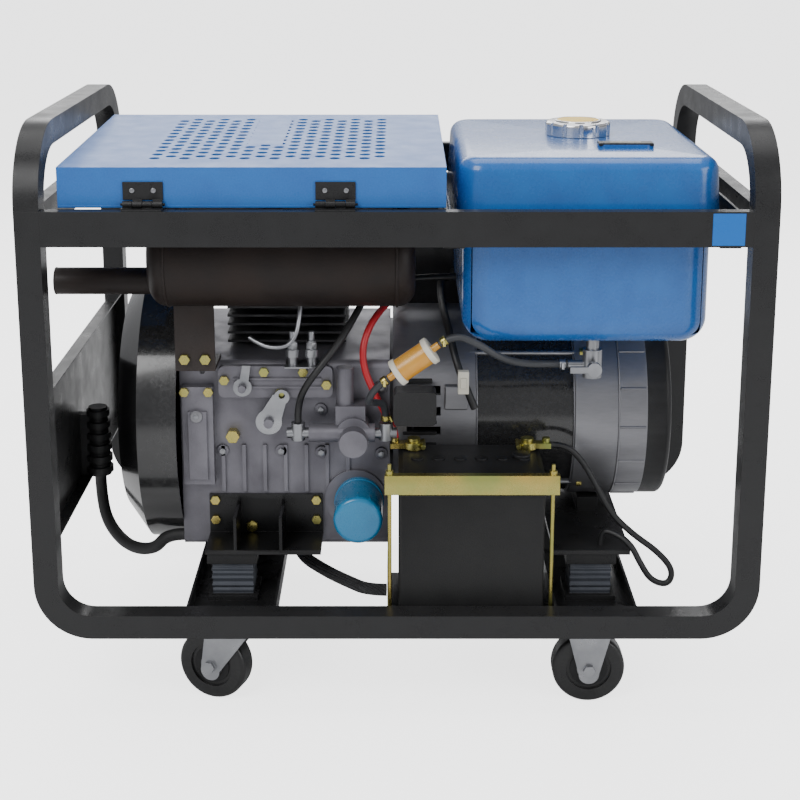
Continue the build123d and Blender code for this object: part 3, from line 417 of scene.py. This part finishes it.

# Painted shade: these two rows of black slabs sit where the bell housing's vent slots are, as the dark inside
# of the openings.
for index, z in enumerate((317, 332, 347, 387)):
    slab(f"bell_slot_{index}", (8, -121.5, z), (52 - 6 * (index == 3), -112, z + 4.5), "trim", bevel=0.8)
for index, z in enumerate((288, 302)):
    slab(f"bell_slot_low_{index}", (8, -118.5, z), (52, -108, z + 4.5), "trim", bevel=0.8)
slab("bell_pad", (62, -124, 352), (92, -112, 384), "bell", bevel=1.5)
rod("dipstick", (-250, -128, 404), (-250, -138, 436), 3.4, "zinc", bevel=0.6)
rod("dipstick_grip", (-250, -138, 436), (-250, -140, 452), 8, "wheel", bevel=2)
rod("drain_plug", (-190, -137, 196), (-190, -129, 196), 8.5, "gold", sides=6, bevel=0.8)
rod("governor_cap", (-257, -152, 352), (-257, -150, 352), 8, "bell", bevel=0.6)
rod("governor_screw", (-257, -153, 352), (-257, -152, 352), 4, "zinc", sides=6, bevel=0.3)
for index, (x, z) in enumerate(((-98, 298), (-98, 356), (-20, 296), (-20, 386), (-150, 300), (-226, 300))):
    rod(f"case_boss_{index}", (x, -129, z), (x, -134, z), 8, "alloy", bevel=1)
    rod(f"case_screw_{index}", (x, -134, z), (x, -138, z), 4.6, "zinc", sides=6, bevel=0.5)

ring("oil_filter_seam", (-49, -146, 234), 31, 1.3, "filter", "y")
ring("oil_filter_base", (-49, -138, 234), 29, 2.0, "zinc", "y")
for index in range(12):
    turn = math.tau * index / 12
    x, z = -49 + 28.5 * math.cos(turn), 234 + 28.5 * math.sin(turn)
    rod(f"oil_filter_flute_{index}", (x, -207, z), (x, -190, z), 3, "filter", sides=16, bevel=0.8)

slab("battery_lid_joint", (3, -240.4, 278), (183, -239.8, 279.4), "trim", bevel=0.1)
for index in range(6):
    x = 26 + index * 27
    rod(f"battery_vent_{index}", (x, -184, 306), (x, -184, 309), 8, "trim", bevel=0.6)
rod("terminal_cover", (158, -176, 307), (158, -176, 312), 12, "trim", bevel=1)

for place, x in (("left", -320), ("right", -95)):
    for index, offset in enumerate((11, 36)):
        rod(f"hinge_screw_{place}_{index}", (x + offset, -261.5, 666), (x + offset, -263.4, 666), 3, "zinc",
            "cover", bevel=0.5)
slab("cover_front_fold", (-396.5, -260.6, 645.4), (57.5, -259.8, 648), "lid", "cover", bevel=0.2)

WHEELS = (("front_right_wheel", (243.5, -225), 0), ("rear_right_wheel", (243.5, 225), 0),
          ("front_left_wheel", (-231.43, -216.11), -20), ("rear_left_wheel", (-231.43, 233.89), -20))
for body, (x, y), degrees in WHEELS:
    turn = math.radians(degrees)
    axle = Vector((-math.sin(turn), math.cos(turn), 0))
    middle = Vector((x, y, 46))
    for tag, side in (("a", -1), ("b", 1)):
        rod(f"{body}_hub_{tag}", middle + axle * side * 12.2, middle + axle * side * 13.4, 24, "trim", body,
            bevel=0.5)
        rod(f"{body}_boss_{tag}", middle + axle * side * 13.4, middle + axle * side * 14.6, 15, "zinc", body,
            bevel=0.5)
for end, x in (("right", 243.5), ("left", -207)):
    for side_tag, side in (("front", -1), ("rear", 1)):
        for index, (dx, dy) in enumerate(((-39, -17), (39, -17), (-39, 17), (39, 17))):
            rod(f"castor_nut_{end}_{side_tag}_{index}", (x + dx, side * 225 + dy, 106.5),
                (x + dx, side * 225 + dy, 112), 5.5, "zinc", sides=6, bevel=0.5)
for index, (x, y) in enumerate(((-211, -162), (-211, 182), (249, -162), (249, 182))):
    for tag, low, high in (("low", 124, 125.4), ("high", 166, 167.6)):
        slab(f"mount_plate_{index}_{tag}", (x - 27, y - 26, low), (x + 27, y + 26, high), "trim", bevel=0.4)
    for band in range(3):
        z = 134 + band * 11
        slab(f"mount_rib_{index}_{band}", (x - 27.2, y - 26.2, z), (x + 27.2, y + 26.2, z + 4), "mount",
             bevel=1.4)

# ---------------------------------------------------------------- floor, light, camera
world = bpy.data.worlds.new("studio")
bpy.context.scene.world = world
world.use_nodes = True
sky = world.node_tree.nodes["Background"]
# The camera sees a white surround, and the object a softer one.
sky.inputs["Color"].default_value = (0.96, 0.97, 1, 1)
rays = world.node_tree.nodes.new("ShaderNodeLightPath")
strength = world.node_tree.nodes.new("ShaderNodeMapRange")
strength.inputs["To Min"].default_value = 0.5
strength.inputs["To Max"].default_value = 3.0
link(world.node_tree, rays.outputs["Is Camera Ray"], strength.inputs["Value"])
link(world.node_tree, strength.outputs["Result"], sky.inputs["Strength"])

F["floor"] = finish("floor", (0.9, 0.9, 0.9), (0.88, 0.88, 0.88), rough=0.7, vary=0.1, scale=3, grain=90,
                    bump=0.02, dust=0.0)
glow = F["floor"].node_tree.nodes["Principled BSDF"]
glow.inputs["Emission Color"].default_value = (1, 1, 1, 1)
floor_tree = F["floor"].node_tree
seen = floor_tree.nodes.new("ShaderNodeLightPath")
link(floor_tree, maths(floor_tree, "MULTIPLY", seen.outputs["Is Camera Ray"], 2.4),
     glow.inputs["Emission Strength"])
floor_mesh = bpy.data.meshes.new("floor")
floor_mesh.from_pydata([(-60, -60, 0), (60, -60, 0), (60, 60, 0), (-60, 60, 0)], [], [(0, 1, 2, 3)])
floor_mesh.materials.append(F["floor"])
floor = bpy.data.objects.new("floor", floor_mesh)
bpy.context.scene.collection.objects.link(floor)


def softbox(name, place, target, width, height, power):
    """A rectangular lamp that faces a point."""
    data = bpy.data.lights.new(name, "AREA")
    data.shape = "RECTANGLE"
    data.size = width
    data.size_y = height
    data.energy = power
    lamp = bpy.data.objects.new(name, data)
    lamp.location = place
    lamp.rotation_euler = (Vector(target) - Vector(place)).to_track_quat("-Z", "Y").to_euler()
    bpy.context.scene.collection.objects.link(lamp)


centre = (0, 0, 0.37)
softbox("key", (-1.5, -2.2, 2.3), centre, 1.6, 1.6, 52)
softbox("fill", (2.3, -1.9, 1.3), centre, 1.8, 1.8, 34)
softbox("top", (0, 0.2, 2.8), centre, 2.4, 2.0, 40)
softbox("back", (0, 2.6, 1.8), centre, 2.4, 1.4, 30)

TILT = math.radians(13)
data = bpy.data.cameras.new("camera")
data.sensor_width = 36
data.lens = 70.1
data.shift_x = 0.004
data.shift_y = -0.166
camera = bpy.data.objects.new("camera", data)
camera.location = (0, -2.052, 0.9875)
camera.rotation_euler = (math.pi / 2 - TILT, 0, 0)
bpy.context.scene.collection.objects.link(camera)
bpy.context.scene.camera = camera
